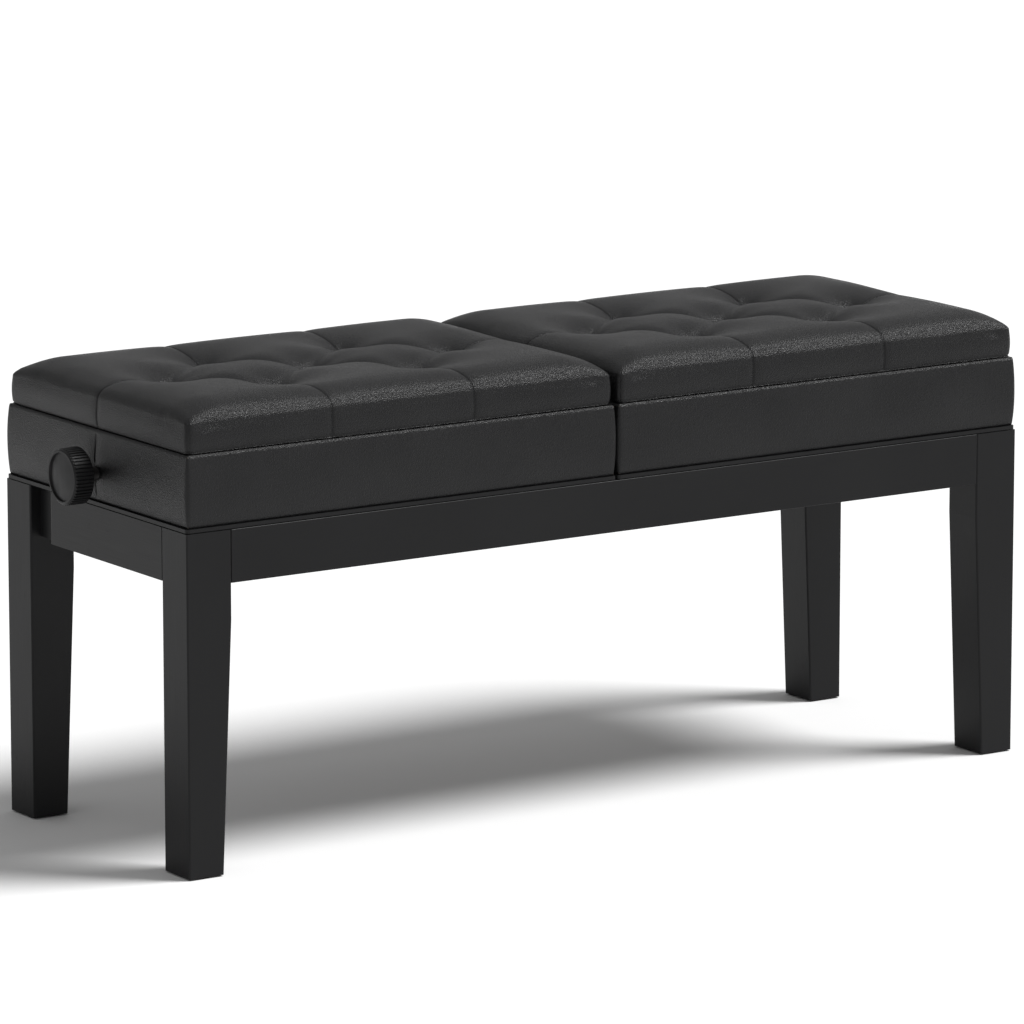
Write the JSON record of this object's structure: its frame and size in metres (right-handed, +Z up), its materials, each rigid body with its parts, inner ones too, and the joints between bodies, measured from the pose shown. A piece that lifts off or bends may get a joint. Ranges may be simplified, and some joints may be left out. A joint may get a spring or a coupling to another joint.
{
  "type": "piano bench",
  "caption": "Duet piano bench: tufted leather cushions on leather-wrapped boxes that lift separately on screw-driven scissors turned by end knobs, on a black wooden base with tapered legs.",
  "frame": {"origin": "on the floor, under the middle of the bench", "axes": "+X along the bench, to the right as seen from the front, -Y towards the front, +Z up"},
  "size_m": [1.074, 0.348, 0.464],
  "materials": {
    "black_leather": "satin",
    "cushion_filling": "matte",
    "black_paint": "satin",
    "bare_plywood": "matte",
    "black_plastic": "satin",
    "black_steel": "satin",
    "bright_steel": "satin",
    "bronze": "satin",
    "felt": "matte"
  },
  "bodies": {
    "base": {"leg_front_left": "black_paint", "leg_front_right": "black_paint", "leg_rear_left": "black_paint", "leg_rear_right": "black_paint", "apron_front": "black_paint", "apron_rear": "black_paint", "end_board_left": "black_paint", "end_board_right": "black_paint", "end_rail_left": "black_paint", "end_rail_right": "black_paint", "centre_rail": "bare_plywood", "corner_brackets": "black_steel", "hanger_bolts": "bright_steel", "bracket_nuts": "bright_steel", "foot_glides": "felt", "frame_screws": "bright_steel", "left_lower_tracks": "black_steel", "right_lower_tracks": "black_steel", "left_lower_pivot_rod": "bright_steel", "right_lower_pivot_rod": "bright_steel"},
    "left_seat": {"left_skirt_front": "bare_plywood", "left_skirt_rear": "bare_plywood", "left_skirt_outer": "bare_plywood", "left_skirt_inner": "bare_plywood", "left_skirt_cover": "black_leather", "left_bottom_strip": "black_paint", "left_seat_board": "bare_plywood", "left_cushion_cover": "black_leather", "left_cushion_foam": "cushion_filling", "left_seat_screws": "bright_steel", "left_upper_tracks": "black_steel", "left_upper_pivot_rod": "bright_steel", "left_shaft_bush": "bronze"},
    "left_screw_drive": {"left_lead_screw": "bright_steel", "left_knob": "black_plastic"},
    "left_nut": {"left_travelling_nut": "black_steel"},
    "left_arms_a": {"left_scissor_arms_a": "black_steel", "left_centre_rod": "bright_steel"},
    "left_arms_b": {"left_scissor_arms_b": "black_steel", "left_rollers": "bright_steel"},
    "right_seat": {"right_skirt_front": "bare_plywood", "right_skirt_rear": "bare_plywood", "right_skirt_outer": "bare_plywood", "right_skirt_inner": "bare_plywood", "right_skirt_cover": "black_leather", "right_bottom_strip": "black_paint", "right_seat_board": "bare_plywood", "right_cushion_cover": "black_leather", "right_cushion_foam": "cushion_filling", "right_seat_screws": "bright_steel", "right_upper_tracks": "black_steel", "right_upper_pivot_rod": "bright_steel", "right_shaft_bush": "bronze"},
    "right_screw_drive": {"right_lead_screw": "bright_steel", "right_knob": "black_plastic"},
    "right_nut": {"right_travelling_nut": "black_steel"},
    "right_arms_a": {"right_scissor_arms_a": "black_steel", "right_centre_rod": "bright_steel"},
    "right_arms_b": {"right_scissor_arms_b": "black_steel", "right_rollers": "bright_steel"}
  },
  "joints": [
    {"name": "left_lift", "type": "slide", "parent": "base", "child": "left_seat", "axis": [0, 0, 1], "range_m": [0, 0.09]},
    {"name": "left_knob_turn", "type": "hinge", "parent": "left_seat", "child": "left_screw_drive", "pos_m": [-0.5, 0, 0.3735], "axis": [-1, 0, 0], "range_deg": [0, 4221]},
    {"name": "left_nut_travel", "type": "slide", "parent": "left_seat", "child": "left_nut", "axis": [1, 0, 0], "range_m": [0, 0.02345]},
    {"name": "left_arms_a_swing", "type": "hinge", "parent": "base", "child": "left_arms_a", "pos_m": [-0.072, 0, 0.3285], "axis": [0, 1, 0], "range_deg": [0, 14.85]},
    {"name": "left_arms_b_swing", "type": "hinge", "parent": "left_seat", "child": "left_arms_b", "pos_m": [-0.072, 0, 0.3735], "axis": [0, -1, 0], "range_deg": [0, 14.85]},
    {"name": "right_lift", "type": "slide", "parent": "base", "child": "right_seat", "axis": [0, 0, 1], "range_m": [0, 0.09]},
    {"name": "right_knob_turn", "type": "hinge", "parent": "right_seat", "child": "right_screw_drive", "pos_m": [0.5, 0, 0.3735], "axis": [1, 0, 0], "range_deg": [0, 4221]},
    {"name": "right_nut_travel", "type": "slide", "parent": "right_seat", "child": "right_nut", "axis": [-1, 0, 0], "range_m": [0, 0.02345]},
    {"name": "right_arms_a_swing", "type": "hinge", "parent": "base", "child": "right_arms_a", "pos_m": [0.072, 0, 0.3285], "axis": [0, -1, 0], "range_deg": [0, 14.85]},
    {"name": "right_arms_b_swing", "type": "hinge", "parent": "right_seat", "child": "right_arms_b", "pos_m": [0.072, 0, 0.3735], "axis": [0, 1, 0], "range_deg": [0, 14.85]}
  ],
  "couplings": [
    {"joint": "left_knob_turn", "follows": "left_lift", "rad_per_m": 818.4},
    {"joint": "left_nut_travel", "follows": "left_lift", "ratio": 0.26052},
    {"joint": "left_arms_a_swing", "follows": "left_lift", "rad_per_m": 2.8785},
    {"joint": "left_arms_b_swing", "follows": "left_lift", "rad_per_m": 2.8785},
    {"joint": "right_knob_turn", "follows": "right_lift", "rad_per_m": 818.4},
    {"joint": "right_nut_travel", "follows": "right_lift", "ratio": 0.26052},
    {"joint": "right_arms_a_swing", "follows": "right_lift", "rad_per_m": 2.8785},
    {"joint": "right_arms_b_swing", "follows": "right_lift", "rad_per_m": 2.8785}
  ]
}
